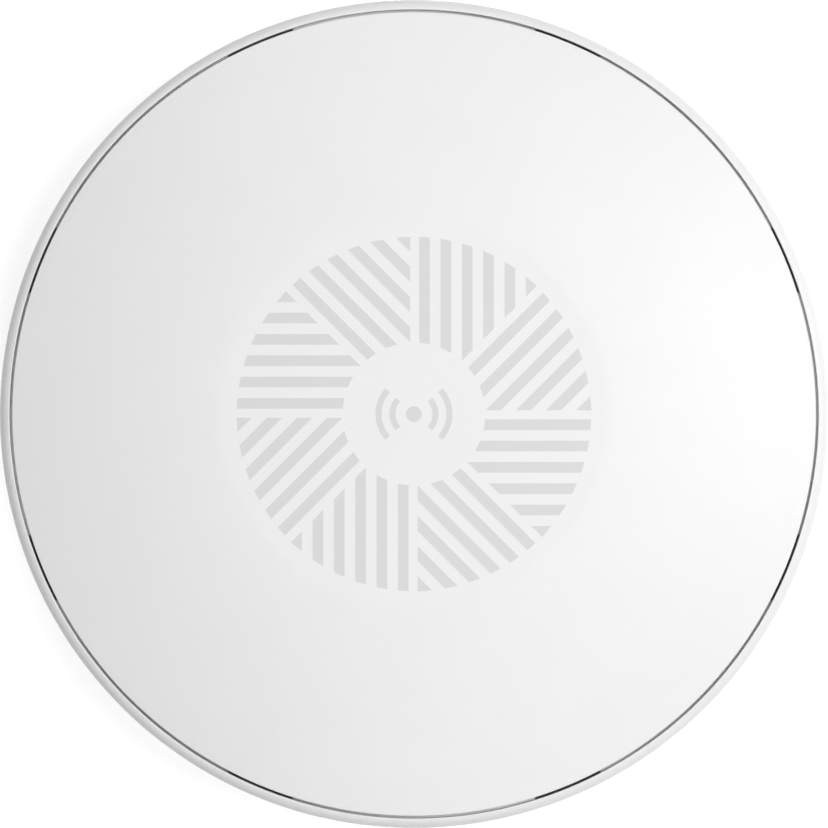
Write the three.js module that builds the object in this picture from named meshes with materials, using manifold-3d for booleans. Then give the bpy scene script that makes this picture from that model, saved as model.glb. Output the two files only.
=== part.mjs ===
// Ceiling access point: a shallow round unit that twists onto a bracket screwed to the ceiling.
// Millimetres, +Z up. The bracket's ceiling side lies at z = 0 and the front of the unit faces +Z.
// Every piece is one closed solid in its own named mesh.

import * as THREE from 'three';
import { mergeVertices } from 'three/addons/utils/BufferGeometryUtils.js';
import Module from 'manifold-3d';

const wasm = await Module();
wasm.setup();

// ---------------------------------------------------------------- driving dimensions

const GAP = 0.3; // clearance between pieces that sit against each other
const RADIUS = 90; // outer radius of the rim
const TOP_Z = 32; // flat centre of the front cover
const WALL = 2; // moulded wall of the housing and the cover

const SHELL_STEPS = 64; // facets round the housing and the cover
const RING_STEPS = 48; // facets round the bracket and the board
const ROD_STEPS = 16; // facets round pins, studs and screws
const ARC_STEPS = 4; // facets along a short arc

// rear housing
const REAR_Z = 1.5; // rear face of the housing's outer ring
const FLOOR_Z = 5.4; // rear face of the floor inside the bracket recess
const RECESS_RADIUS = 64;
const SIDE_RADIUS = 78.5; // where the rounded side meets the rear face
const SIDE_TOP_Z = 23;
const RIM_FILLET = 1.8;
const RIM_SHOULDER_Z = 24.6; // where the rim's fillet starts
const LIP_RADIUS = 87.95; // inner edge of the rim, the outer side of the groove
const LIP_CHAMFER = 0.25;
const LEDGE_Z = 24.7; // floor of the groove
const LEDGE_THICKNESS = 1.5;
const LEDGE_RADIUS = 84.4;

// vents in the floor of the groove
const VENT_COUNT = 8;
const VENT_ANGLE = THREE.MathUtils.degToRad(10);
const VENT_RADII = [85.2, 87.6];

// front cover
const PLATEAU_RADIUS = 41.3; // flat centre
const DOME_START = 43.5; // end of the blend from the flat centre into the dome
const COVER_RADIUS = 87.4;
const DOME_SLOPES = [3, 11.5].map(THREE.MathUtils.degToRad); // at its start and at the cover's edge
const COVER_EDGE_Z = 25.2; // underside of the cover's edge
const COVER_EDGE_CHAMFER = 0.25;
const SKIRT_RADII = [82.2, 83.8];
const SKIRT_Z = 20;
const SNAP_COUNT = 6;
const SNAP_SIZE = [0.65, 8, 1]; // radial, around, height
const SNAP_Z = 22;

// bracket
const BRACKET_RADIUS = 60;
const BRACKET_Z = 4.8; // face towards the housing
const BRACKET_PLATE = 1.8;
const CABLE_HOLE_RADIUS = 24;
const HUB_WALL = 1.6;
const SCREW_PADS = [[41.75, 0], [-41.75, 0], [0, 30], [0, -30]];
const SCREW_PAD_RADIUS = 5;
const SCREW_HOLE_RADIUS = 2.25;

// bayonet: the housing's studs in the bracket's keyholes
const STUD_ANGLES = [90, 210, 330].map(THREE.MathUtils.degToRad);
const STUD_CIRCLE = 48;
const STUD_RADIUS = 2.2;
const STUD_HEAD_RADIUS = 4.3;
const STUD_HEAD_Z = [1.1, 2.6];
const KEYHOLE_TURN = THREE.MathUtils.degToRad(18);
const KEYHOLE_SLOT_RADIUS = 2.6;
const KEYHOLE_ENTRY_RADIUS = 5;

// stiffening ribs under the bracket's plate, clear of the keyholes and the screw pads
const RIB_ANGLES = [45, 75, 165, 195, 285, 315].map(THREE.MathUtils.degToRad);
const RIB_THICKNESS = 1.4;
const RIB_Z = 0.8;

// rating label, on the housing's floor where the bracket's cable hole leaves it in sight
const LABEL = { x: [-15, 15], y: [5, 19], thickness: 0.3 };

// cable bay in the back of the housing, and the socket that opens into it
const BAY = { x: [-17, 17], y: [-44, -6], roofZ: 18 };
const BAY_WALL = 1.6;
const JACK = { width: 16, depth: 21, z: [8.2, 20.9] };
const JACK_SHEET = 0.5;
const SOCKET = { width: 11.8, z: [10.6, 17.4], depth: 13 };
const SOCKET_KEY = { width: 6.2, z: 9.4 };
const SOCKET_WINDOW = { width: 14.4, z: [8.9, 17.9] };
const CONTACTS = { count: 8, pitch: 1.02, width: 0.45, reach: 8.6, sag: [1.2, 1.6], rootThickness: 0.5 };
const CONTACT_BAR = { depth: 0.8, height: 2.4 };

// circuit board and what stands on it
const BOARD_RADIUS = 70;
const BOARD_Z = [21.2, 22.8];
const SOLDER = 0.1; // stand-off of a soldered piece from the board
const BOSS_POSITIONS = [[1, 1], [-1, 1], [-1, -1], [1, -1]].map(([x, y]) => [42.4 * x, 42.4 * y]);
const BOSS_RADIUS = 3.4;
const BOARD_HOLE_RADIUS = 1.8;
const SCREW_RADIUS = 1.25;
const SCREW_HEAD = { radius: 2.8, height: 1.8, slope: 0.8 };
const SCREW_TIP_Z = 12;

const HEAT_SINK = { x: 30, y: [20, 52], plateZ: [16.5, 18.5], finZ: 9.4 };
const FIN_COUNT = 9;
const FIN_PITCH = 7.2;
const FIN_THICKNESS = 1.2;
const PIN_POSITIONS = [[25.2, 24.5], [-25.2, 47.5]];
const PIN = { radius: 1.4, headRadius: 2.5, capRadius: 2.2, headZ: 14.9, capZ: 24.2 };

const CHIP_THICKNESS = 1.2;
const CHIPS = [
  { name: 'processor', x: -6, y: 36, width: 16, depth: 16 },
  { name: 'memory', x: 14, y: 34, width: 12, depth: 9 },
];

const LAN_TRANSFORMER = { x: -27, y: 6, width: 13, depth: 17, height: 6 };
const POE_TRANSFORMER = { x: 35, y: 9, core: { width: 15, depth: 7, height: 11 } };
const POE_BASE = { width: 13, depth: 14, height: 2.5 };
const POE_WINDING = { radius: 6.2, height: 9 };
const INDUCTOR = { x: 31, y: -14, size: 10, corner: 2.4, height: 4.8 };
const CAPACITOR_POSITIONS = [[-30, -15], [-30, -26]];
const CAPACITOR = { radius: 4, height: 11, chamfer: 0.5, grooveDepth: 0.4, groove: [1.6, 2.6] };

const LED = { width: 3.2, depth: 2.8, height: 0.9 };
const LIGHT_GUIDE = { standOff: 1.4, radii: [3, 4, 8.5], neck: 2.5, flange: 1.2, steps: 24 };
const LIGHT_GUIDE_LEG = { radius: 0.9, circle: 7, steps: 8 };

const SHIELD = { width: 26, depth: 20, height: 2.6, sheet: 0.4 };
const RADIO_CHIP = { size: 9, thickness: 0.9 };
const RADIOS = [
  { name: 'low_band', x: -26, y: 10 },
  { name: 'high_band', x: 26, y: -10 },
];

const RESET = { x: 21.8, y: 3, size: 6, height: 3.5, plungerRadius: 1.2, plungerLength: 3, proud: 1 };
const RESET_GUIDE = { inner: 1.1, outer: 2.2, z: 15.4 };

const ANTENNA = { radii: [58, 66], length: 26, topZ: 27.3, sheet: 0.5, leg: 3 };
const COAX_RADIUS = 0.6;
const COAX_Z = 24;
const COAX_STEPS = 24;
const COAX_PLUG = { radius: 1.3, height: 1.5, steps: 12 };

// ---------------------------------------------------------------- geometry helpers

function toSolid(geometry) {
  const bare = geometry.clone();
  bare.deleteAttribute('normal');
  bare.deleteAttribute('uv');
  const merged = mergeVertices(bare, 1e-4);
  return new wasm.Manifold(new wasm.Mesh({
    numProp: 3,
    vertProperties: new Float32Array(merged.attributes.position.array),
    triVerts: new Uint32Array(merged.index.array),
  }));
}

function toGeometry(solid) {
  const { vertProperties, triVerts } = solid.getMesh();
  const geometry = new THREE.BufferGeometry();
  geometry.setAttribute('position', new THREE.BufferAttribute(vertProperties, 3));
  geometry.setIndex(new THREE.BufferAttribute(triVerts, 1));
  geometry.computeVertexNormals();
  return geometry;
}

function join(geometry, ...others) {
  return toGeometry(others.reduce((sum, other) => sum.add(toSolid(other)), toSolid(geometry)));
}

function cut(geometry, ...tools) {
  return toGeometry(tools.reduce((rest, tool) => rest.subtract(toSolid(tool)), toSolid(geometry)));
}

function box([x0, x1], [y0, y1], [z0, z1]) {
  const geometry = new THREE.BoxGeometry(x1 - x0, y1 - y0, z1 - z0);
  return geometry.translate((x0 + x1) / 2, (y0 + y1) / 2, (z0 + z1) / 2);
}

function boxAt(x, y, width, depth, z) {
  return box([x - width / 2, x + width / 2], [y - depth / 2, y + depth / 2], z);
}

function rod(radius, [z0, z1], x = 0, y = 0, steps = ROD_STEPS) {
  const geometry = new THREE.CylinderGeometry(radius, radius, z1 - z0, steps).rotateX(Math.PI / 2);
  return geometry.translate(x, y, (z0 + z1) / 2);
}

// A solid of revolution about Z. The outline runs counter-clockwise as [radius, z] pairs.
function lathe(outline, steps) {
  const points = outline.map(([radius, z]) => new THREE.Vector2(radius, z));
  return new THREE.LatheGeometry(points, steps).rotateX(Math.PI / 2);
}

function ringSector([r0, r1], [a0, a1], [z0, z1]) {
  const shape = new THREE.Shape();
  shape.absarc(0, 0, r1, a0, a1, false);
  shape.absarc(0, 0, r0, a1, a0, true);
  const options = { depth: z1 - z0, bevelEnabled: false, curveSegments: ARC_STEPS };
  return new THREE.ExtrudeGeometry(shape, options).translate(0, 0, z0);
}

function prism(outline, [z0, z1]) {
  const shape = new THREE.Shape(outline.map(([x, y]) => new THREE.Vector2(x, y)));
  return new THREE.ExtrudeGeometry(shape, { depth: z1 - z0, bevelEnabled: false }).translate(0, 0, z0);
}

// [radius, z] points on an elliptical arc round [cr, cz].
function arc([cr, cz], [ar, az], [start, end], steps) {
  return Array.from({ length: steps + 1 }, (_, i) => {
    const angle = start + ((end - start) * i) / steps;
    return [cr + ar * Math.cos(angle), cz + az * Math.sin(angle)];
  });
}

function spaced(start, end, count) {
  return Array.from({ length: count + 1 }, (_, i) => start + ((end - start) * i) / count);
}

function grown([low, high], by) {
  return [low - by, high + by];
}

function onCircle(radius, angle) {
  return [radius * Math.cos(angle), radius * Math.sin(angle)];
}

function turned(geometry, angle) {
  return geometry.rotateZ(angle);
}

// ---------------------------------------------------------------- scene graph

const accessPoint = new THREE.Group();

const PAINTS = {
  cover: { color: 0xf2f2f2, roughness: 0.45, metalness: 0 },
  housing: { color: 0xeeeeee, roughness: 0.5, metalness: 0 },
  bracket: { color: 0xd9dadb, roughness: 0.6, metalness: 0 },
  label: { color: 0xe4e4e2, roughness: 0.7, metalness: 0 },
  board: { color: 0x1f5a3a, roughness: 0.5, metalness: 0 },
  chip: { color: 0x1b1c1e, roughness: 0.5, metalness: 0 },
  ferrite: { color: 0x2b2c2f, roughness: 0.7, metalness: 0.1 },
  tinplate: { color: 0xbfc2c4, roughness: 0.35, metalness: 1 },
  aluminium: { color: 0xc8cacc, roughness: 0.4, metalness: 1 },
  gold: { color: 0xd9b45a, roughness: 0.3, metalness: 1 },
  pad: { color: 0x8fa5b5, roughness: 0.9, metalness: 0 },
  blackPlastic: { color: 0x222325, roughness: 0.6, metalness: 0 },
  led: { color: 0xf6f3df, roughness: 0.3, metalness: 0 },
  clear: { color: 0xeaf2f5, roughness: 0.1, metalness: 0 },
  coax: { color: 0x3a3b3d, roughness: 0.6, metalness: 0 },
};

const materials = Object.fromEntries(
  Object.entries(PAINTS).map(([name, paint]) => [name, new THREE.MeshStandardMaterial(paint)]),
);

function place(name, geometry, paint, parent = accessPoint) {
  const mesh = new THREE.Mesh(geometry, materials[paint]);
  mesh.name = name;
  parent.add(mesh);
  return mesh;
}

// ---------------------------------------------------------------- front cover

// Height of the cover's front face: flat in the middle, then a dome whose slope grows steadily to the edge.
function coverZ(radius) {
  const [slopeIn, slopeOut] = DOME_SLOPES;
  const blend = THREE.MathUtils.clamp(radius - PLATEAU_RADIUS, 0, DOME_START - PLATEAU_RADIUS);
  const blendFall = (slopeIn * blend ** 2) / (2 * (DOME_START - PLATEAU_RADIUS));
  const along = Math.max(radius - DOME_START, 0);
  const span = COVER_RADIUS - DOME_START;
  return TOP_Z - blendFall - slopeIn * along - ((slopeOut - slopeIn) * along ** 2) / (2 * span);
}

function frontCover() {
  const [skirtIn, skirtOut] = SKIRT_RADII;
  const faceRadius = COVER_RADIUS - COVER_EDGE_CHAMFER;
  const inside = [PLATEAU_RADIUS, ...spaced(DOME_START, skirtIn, 3)].map((r) => [r, coverZ(r) - WALL]);
  const face = [PLATEAU_RADIUS, ...spaced(DOME_START, faceRadius, 6)].map((r) => [r, coverZ(r)]);
  const outline = [
    [0, TOP_Z - WALL],
    ...inside,
    [skirtIn, SKIRT_Z],
    [skirtOut, SKIRT_Z],
    [skirtOut, COVER_EDGE_Z],
    [COVER_RADIUS, COVER_EDGE_Z],
    [COVER_RADIUS, coverZ(COVER_RADIUS) - COVER_EDGE_CHAMFER],
    ...face.reverse(),
    [0, TOP_Z],
  ];
  const [reach, width, height] = SNAP_SIZE;
  const snaps = Array.from({ length: SNAP_COUNT }, (_, i) => turned(
    box([skirtOut - reach / 2, skirtOut + reach / 2], [-width / 2, width / 2], [SNAP_Z, SNAP_Z + height]),
    (i * 2 * Math.PI) / SNAP_COUNT,
  ));
  return join(lathe(outline, SHELL_STEPS), ...snaps);
}

place('front_cover', frontCover(), 'cover');

// ---------------------------------------------------------------- rear housing

const floorTop = FLOOR_Z + WALL;
const bossTop = BOARD_Z[0] - GAP;

function housingShell() {
  const sideCentre = [SIDE_RADIUS, SIDE_TOP_Z];
  const outerReach = [RADIUS - SIDE_RADIUS, SIDE_TOP_Z - REAR_Z];
  const innerReach = outerReach.map((reach) => reach - WALL);
  const rimCentre = [RADIUS - RIM_FILLET, RIM_SHOULDER_Z];
  const rimTop = RIM_SHOULDER_Z + RIM_FILLET;
  return lathe([
    [0, FLOOR_Z],
    [RECESS_RADIUS, FLOOR_Z],
    [RECESS_RADIUS, REAR_Z],
    ...arc(sideCentre, outerReach, [-Math.PI / 2, 0], 6),
    ...arc(rimCentre, [RIM_FILLET, RIM_FILLET], [0, Math.PI / 2], 2),
    [LIP_RADIUS, rimTop - LIP_CHAMFER],
    [LIP_RADIUS, LEDGE_Z],
    [LEDGE_RADIUS, LEDGE_Z],
    [LEDGE_RADIUS, LEDGE_Z - LEDGE_THICKNESS],
    ...arc(sideCentre, innerReach, [0, -Math.PI / 2], 4),
    [RECESS_RADIUS + WALL, REAR_Z + WALL],
    [RECESS_RADIUS + WALL, floorTop],
    [0, floorTop],
  ], SHELL_STEPS);
}

function vents() {
  return Array.from({ length: VENT_COUNT }, (_, i) => {
    const middle = ((i + 0.5) * 2 * Math.PI) / VENT_COUNT;
    const span = [middle - VENT_ANGLE / 2, middle + VENT_ANGLE / 2];
    return ringSector(VENT_RADII, span, [LEDGE_Z - LEDGE_THICKNESS - 1, LEDGE_Z + 1]);
  });
}

function stud(angle) {
  const [x, y] = onCircle(STUD_CIRCLE, angle);
  const [headLow, headHigh] = STUD_HEAD_Z;
  return lathe([
    [0, headLow],
    [STUD_HEAD_RADIUS, headLow],
    [STUD_HEAD_RADIUS, headHigh],
    [STUD_RADIUS, headHigh],
    [STUD_RADIUS, FLOOR_Z + WALL / 2],
    [0, FLOOR_Z + WALL / 2],
  ], ROD_STEPS).translate(x, y, 0);
}

function rearHousing() {
  const floorMiddle = FLOOR_Z + WALL / 2;
  const bayBox = box(grown(BAY.x, BAY_WALL), grown(BAY.y, BAY_WALL), [floorMiddle, BAY.roofZ + BAY_WALL]);
  const bosses = BOSS_POSITIONS.map(([x, y]) => rod(BOSS_RADIUS, [floorMiddle, bossTop], x, y));
  const guide = rod(RESET_GUIDE.outer, [floorMiddle, RESET_GUIDE.z], RESET.x, RESET.y);
  const solid = join(housingShell(), bayBox, guide, ...bosses, ...STUD_ANGLES.map(stud));

  const bay = box(BAY.x, BAY.y, [FLOOR_Z - 1, BAY.roofZ]);
  const windowY = [BAY.y[1] - 1, BAY.y[1] + BAY_WALL + 1];
  const window = box([-SOCKET_WINDOW.width / 2, SOCKET_WINDOW.width / 2], windowY, SOCKET_WINDOW.z);
  const screwHoles = BOSS_POSITIONS.map(([x, y]) => (
    rod(SCREW_RADIUS + GAP, [SCREW_TIP_Z - 1, bossTop + 1], x, y)));
  const resetHole = rod(RESET_GUIDE.inner, [FLOOR_Z - 1, RESET_GUIDE.z + 1], RESET.x, RESET.y);
  return cut(solid, bay, window, resetHole, ...screwHoles, ...vents());
}

place('rear_housing', rearHousing(), 'housing');

place('rear_label', box(LABEL.x, LABEL.y, [FLOOR_Z - LABEL.thickness, FLOOR_Z]), 'label');

// ---------------------------------------------------------------- bracket

function keyhole(lockedAngle) {
  const cutZ = [-1, BRACKET_Z + 1];
  const entryAngle = lockedAngle + KEYHOLE_TURN;
  const slotRadii = grown([STUD_CIRCLE, STUD_CIRCLE], KEYHOLE_SLOT_RADIUS);
  return [
    ringSector(slotRadii, [lockedAngle, entryAngle], cutZ),
    rod(KEYHOLE_SLOT_RADIUS, cutZ, ...onCircle(STUD_CIRCLE, lockedAngle)),
    rod(KEYHOLE_ENTRY_RADIUS, cutZ, ...onCircle(STUD_CIRCLE, entryAngle)),
  ];
}

function mountingBracket() {
  const plateUnder = BRACKET_Z - BRACKET_PLATE;
  const ring = lathe([
    [CABLE_HOLE_RADIUS, 0],
    [CABLE_HOLE_RADIUS + HUB_WALL, 0],
    [CABLE_HOLE_RADIUS + HUB_WALL, plateUnder],
    [BRACKET_RADIUS - BRACKET_PLATE, plateUnder],
    [BRACKET_RADIUS - BRACKET_PLATE, 0],
    [BRACKET_RADIUS, 0],
    [BRACKET_RADIUS, BRACKET_Z],
    [CABLE_HOLE_RADIUS, BRACKET_Z],
    [CABLE_HOLE_RADIUS, 0],
  ], RING_STEPS);
  const pads = SCREW_PADS.map(([x, y]) => rod(SCREW_PAD_RADIUS, [0, BRACKET_Z - BRACKET_PLATE / 2], x, y));
  const ribX = [CABLE_HOLE_RADIUS + HUB_WALL / 2, BRACKET_RADIUS - BRACKET_PLATE / 2];
  const ribY = [-RIB_THICKNESS / 2, RIB_THICKNESS / 2];
  const ribZ = [RIB_Z, BRACKET_Z - BRACKET_PLATE / 2];
  const ribs = RIB_ANGLES.map((angle) => turned(box(ribX, ribY, ribZ), angle));
  const holes = SCREW_PADS.map(([x, y]) => rod(SCREW_HOLE_RADIUS, [-1, BRACKET_Z + 1], x, y));
  return cut(join(ring, ...pads, ...ribs), ...holes, ...STUD_ANGLES.flatMap(keyhole));
}

place('mounting_bracket', mountingBracket(), 'bracket');

// ---------------------------------------------------------------- circuit board and its screws

const [boardRear, boardFront] = BOARD_Z;
const rearMount = boardRear - SOLDER; // soldered face of the pieces on the board's rear side
const frontMount = boardFront + SOLDER; // and of those on its front side

function mainBoard() {
  const holes = [...BOSS_POSITIONS, ...PIN_POSITIONS];
  const tools = holes.map(([x, y]) => rod(BOARD_HOLE_RADIUS, [boardRear - 1, boardFront + 1], x, y));
  return cut(rod(BOARD_RADIUS, BOARD_Z, 0, 0, RING_STEPS), ...tools);
}

function boardScrew() {
  const seat = boardFront + GAP;
  const headTop = seat + SCREW_HEAD.height;
  return lathe([
    [0, SCREW_TIP_Z],
    [SCREW_RADIUS, SCREW_TIP_Z + SCREW_RADIUS],
    [SCREW_RADIUS, seat],
    [SCREW_HEAD.radius, seat],
    [SCREW_HEAD.radius, headTop - SCREW_HEAD.slope],
    [SCREW_HEAD.radius - SCREW_HEAD.slope, headTop],
    [0, headTop],
  ], ROD_STEPS);
}

place('main_board', mainBoard(), 'board');

BOSS_POSITIONS.forEach(([x, y], i) => {
  place(`board_screw_${i + 1}`, boardScrew(), 'tinplate').position.set(x, y, 0);
});

// ---------------------------------------------------------------- processor, memory and heat sink

CHIPS.forEach(({ name, x, y, width, depth }) => {
  const chipZ = [rearMount - CHIP_THICKNESS, rearMount];
  const padZ = [HEAT_SINK.plateZ[1] + SOLDER, chipZ[0] - SOLDER];
  place(`${name}_chip`, boxAt(x, y, width, depth, chipZ), 'chip');
  place(`${name}_thermal_pad`, boxAt(x, y, width, depth, padZ), 'pad');
});

// A comb outline in X and height, extruded along Y: a plate with fins towards the housing's floor.
function heatSink() {
  const { x: half, y: [y0, y1], plateZ: [under, top], finZ } = HEAT_SINK;
  const firstFin = (-(FIN_COUNT - 1) * FIN_PITCH) / 2;
  const comb = [];
  for (let i = 0; i < FIN_COUNT; i += 1) {
    const [left, right] = grown([firstFin + i * FIN_PITCH, firstFin + i * FIN_PITCH], FIN_THICKNESS / 2);
    comb.push([left, under], [left, finZ], [right, finZ], [right, under]);
  }
  const outline = [[-half, under], ...comb, [half, under], [half, top], [-half, top]];
  const body = prism(outline, [0, y1 - y0]).rotateX(Math.PI / 2).translate(0, y1, 0);
  return cut(body, ...PIN_POSITIONS.map(([x, y]) => rod(BOARD_HOLE_RADIUS, [under - 1, top + 1], x, y)));
}

function pushPin() {
  const headTop = HEAT_SINK.plateZ[0] - GAP;
  const capUnder = boardFront + GAP;
  return lathe([
    [0, PIN.headZ],
    [PIN.headRadius, PIN.headZ],
    [PIN.headRadius, headTop],
    [PIN.radius, headTop],
    [PIN.radius, capUnder],
    [PIN.capRadius, capUnder],
    [PIN.radius, PIN.capZ],
    [0, PIN.capZ],
  ], ROD_STEPS);
}

place('heat_sink', heatSink(), 'aluminium');

PIN_POSITIONS.forEach(([x, y], i) => {
  place(`heat_sink_pin_${i + 1}`, pushPin(), 'blackPlastic').position.set(x, y, 0);
});

// ---------------------------------------------------------------- Ethernet jack

const jackFront = BAY.y[1] + BAY_WALL + GAP;
const jackHalf = JACK.width / 2;
const jackInside = {
  x: jackHalf - JACK_SHEET,
  y: jackFront + JACK.depth - JACK_SHEET,
  z: grown(JACK.z, -JACK_SHEET),
};
const insertFront = jackFront + GAP;

function jackShell() {
  const outer = box([-jackHalf, jackHalf], [jackFront, jackFront + JACK.depth], JACK.z);
  return cut(outer, box([-jackInside.x, jackInside.x], [jackFront - 1, jackInside.y], jackInside.z));
}

function jackInsert() {
  const block = box(grown([-jackInside.x, jackInside.x], -GAP), [insertFront, jackInside.y - GAP],
    grown(jackInside.z, -GAP));
  const cavityY = [insertFront - 1, insertFront + SOCKET.depth];
  const cavity = box([-SOCKET.width / 2, SOCKET.width / 2], cavityY, SOCKET.z);
  const key = box([-SOCKET_KEY.width / 2, SOCKET_KEY.width / 2], cavityY, [SOCKET_KEY.z, SOCKET.z[0] + 1]);
  return cut(block, cavity, key);
}

// Eight sprung wires in a row, joined by the carrier bar at the back of the socket. Each wire slopes into the
// socket as it runs forward from the bar's middle.
function jackContacts() {
  const { count, pitch, width, reach, sag, rootThickness } = CONTACTS;
  const back = insertFront + SOCKET.depth - GAP;
  const top = SOCKET.z[1] - GAP;
  const root = back - CONTACT_BAR.depth / 2;
  const tip = root - reach;
  const half = ((count - 1) * pitch + width) / 2;
  const bar = box([-half, half], [back - CONTACT_BAR.depth, back], [top - CONTACT_BAR.height, top]);
  const outline = [[root, top], [tip, top - sag[0]], [tip, top - sag[1]], [root, top - rootThickness]];
  const wires = Array.from({ length: count }, (_, i) => (
    prism(outline, [0, width]).rotateX(Math.PI / 2).rotateZ(Math.PI / 2).translate(i * pitch - half, 0, 0)));
  return join(bar, ...wires);
}

place('ethernet_jack_shell', jackShell(), 'tinplate');
place('ethernet_jack_insert', jackInsert(), 'blackPlastic');
place('ethernet_jack_contacts', jackContacts(), 'gold');

// ---------------------------------------------------------------- power parts on the rear side

function onRearSide(height) {
  return [rearMount - height, rearMount];
}

// A can with a rolled groove near its base.
function bulkCapacitor() {
  const { radius, height, chamfer, grooveDepth, groove } = CAPACITOR;
  const [low, high] = onRearSide(height);
  const [grooveEnd, grooveStart] = groove.map((fromBase) => high - fromBase);
  return lathe([
    [0, low],
    [radius - chamfer, low],
    [radius, low + chamfer],
    [radius, grooveStart],
    [radius - grooveDepth, (grooveStart + grooveEnd) / 2],
    [radius, grooveEnd],
    [radius, high],
    [0, high],
  ], ROD_STEPS);
}

// A wound bobbin between the two halves of its ferrite core.
function poeTransformer() {
  const { x, y, core } = POE_TRANSFORMER;
  const winding = rod(POE_WINDING.radius, [rearMount - POE_WINDING.height, rearMount - POE_BASE.height], x, y);
  const base = boxAt(x, y, POE_BASE.width, POE_BASE.depth, onRearSide(POE_BASE.height));
  return join(boxAt(x, y, core.width, core.depth, onRearSide(core.height)), winding, base);
}

// A square drum with its corners cut off.
function powerInductor() {
  const { x, y, size, corner, height } = INDUCTOR;
  const half = size / 2;
  const near = half - corner;
  const quarter = [[near, -half], [half, -near], [half, near], [near, half]];
  const outline = [...quarter, ...quarter.map(([across, along]) => [-across, -along])];
  return prism(outline, onRearSide(height)).translate(x, y, 0);
}

const lan = LAN_TRANSFORMER;
place('lan_transformer', boxAt(lan.x, lan.y, lan.width, lan.depth, onRearSide(lan.height)), 'chip');
place('poe_transformer', poeTransformer(), 'ferrite');
place('power_inductor', powerInductor(), 'ferrite');

CAPACITOR_POSITIONS.forEach(([x, y], i) => {
  place(`bulk_capacitor_${i + 1}`, bulkCapacitor(), 'aluminium').position.set(x, y, 0);
});

// ---------------------------------------------------------------- reset switch

const switchFace = rearMount - RESET.height;
const plungerTip = switchFace - RESET.proud;

function resetSwitch() {
  const body = boxAt(RESET.x, RESET.y, RESET.size, RESET.size, [switchFace, rearMount]);
  const wellTop = plungerTip + RESET.plungerLength + 2 * GAP;
  return cut(body, rod(RESET.plungerRadius + GAP, [switchFace - 1, wellTop], RESET.x, RESET.y));
}

place('reset_switch', resetSwitch(), 'tinplate');
const plungerZ = [plungerTip, plungerTip + RESET.plungerLength];
place('reset_plunger', rod(RESET.plungerRadius, plungerZ, RESET.x, RESET.y), 'blackPlastic');

// ---------------------------------------------------------------- status light

// A funnel that spreads the LED's light under the cover, on three legs.
function lightGuide() {
  const { standOff, radii, neck, flange, steps } = LIGHT_GUIDE;
  const low = boardFront + standOff;
  const high = TOP_Z - WALL - GAP;
  const funnel = lathe([
    [0, low],
    [radii[0], low],
    [radii[1], low + neck],
    [radii[2], high - flange],
    [radii[2], high],
    [0, high],
  ], steps);
  const leg = LIGHT_GUIDE_LEG;
  const legZ = [frontMount, high - flange / 2];
  const legs = Array.from({ length: 3 }, (_, i) => (
    rod(leg.radius, legZ, ...onCircle(leg.circle, (i * 2 * Math.PI) / 3), leg.steps)));
  return join(funnel, ...legs);
}

place('status_led', boxAt(0, 0, LED.width, LED.depth, [frontMount, frontMount + LED.height]), 'led');
place('light_guide', lightGuide(), 'clear');

// ---------------------------------------------------------------- radios

RADIOS.forEach(({ name, x, y }) => {
  const { width, depth, height, sheet } = SHIELD;
  const lid = boxAt(x, y, width, depth, [frontMount, frontMount + height]);
  const insideZ = [frontMount - 1, frontMount + height - sheet];
  const inside = boxAt(x, y, width - 2 * sheet, depth - 2 * sheet, insideZ);
  const chipZ = [frontMount, frontMount + RADIO_CHIP.thickness];
  place(`radio_shield_${name}`, cut(lid, inside), 'tinplate');
  place(`radio_chip_${name}`, boxAt(x, y, RADIO_CHIP.size, RADIO_CHIP.size, chipZ), 'chip');
});

// ---------------------------------------------------------------- antennas and their leads

// A stamped strip on three legs, lying across the radius.
function antenna() {
  const [r0, r1] = ANTENNA.radii;
  const half = ANTENNA.length / 2;
  const { topZ, sheet, leg } = ANTENNA;
  const legZ = [boardFront + GAP, topZ - sheet / 2];
  const top = box([r0, r1], [-half, half], [topZ - sheet, topZ]);
  const ends = [-half, half - sheet].map((y) => box([r0, r0 + leg], [y, y + sheet], legZ));
  const feed = box([r0, r0 + sheet], [-leg / 2, leg / 2], legZ);
  return join(top, feed, ...ends);
}

function coaxLead(route) {
  const curve = new THREE.CatmullRomCurve3(route.map(([x, y]) => new THREE.Vector3(x, y, COAX_Z)));
  const section = new THREE.Shape();
  section.absarc(0, 0, COAX_RADIUS, 0, 2 * Math.PI, false);
  return new THREE.ExtrudeGeometry(section, { steps: COAX_STEPS, curveSegments: ARC_STEPS, extrudePath: curve });
}

// Each half of the board has an east and a south lead, the other half repeats them half a turn on.
const LEADS = [
  {
    turn: 0,
    plug: [43, -8],
    route: [[57.4, 0], [54, -1.5], [52, -7], [49, -12], [45, -13], [43, -9.7]],
  },
  {
    turn: -90,
    plug: [22, -24],
    route: [[0, -57.4], [2, -53], [9, -46], [17, -40], [21.5, -33], [22, -25.7]],
  },
];

[0, 180].forEach((half, h) => {
  LEADS.forEach(({ turn, plug, route }, i) => {
    const number = h * LEADS.length + i + 1;
    const side = new THREE.Group();
    side.rotation.z = THREE.MathUtils.degToRad(half);
    accessPoint.add(side);
    const strip = place(`antenna_${number}`, antenna(), 'tinplate', side);
    strip.rotation.z = THREE.MathUtils.degToRad(turn);
    place(`coax_lead_${number}`, coaxLead(route), 'coax', side);
    const plugZ = [boardFront + GAP, boardFront + GAP + COAX_PLUG.height];
    place(`coax_plug_${number}`, rod(COAX_PLUG.radius, plugZ, ...plug, COAX_PLUG.steps), 'gold', side);
  });
});

export default accessPoint;
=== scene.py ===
import random
from math import acos, atan2, cos, hypot, pi, radians, sin, sqrt, tan

import bmesh
import bpy
from mathutils import Matrix, Vector


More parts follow.
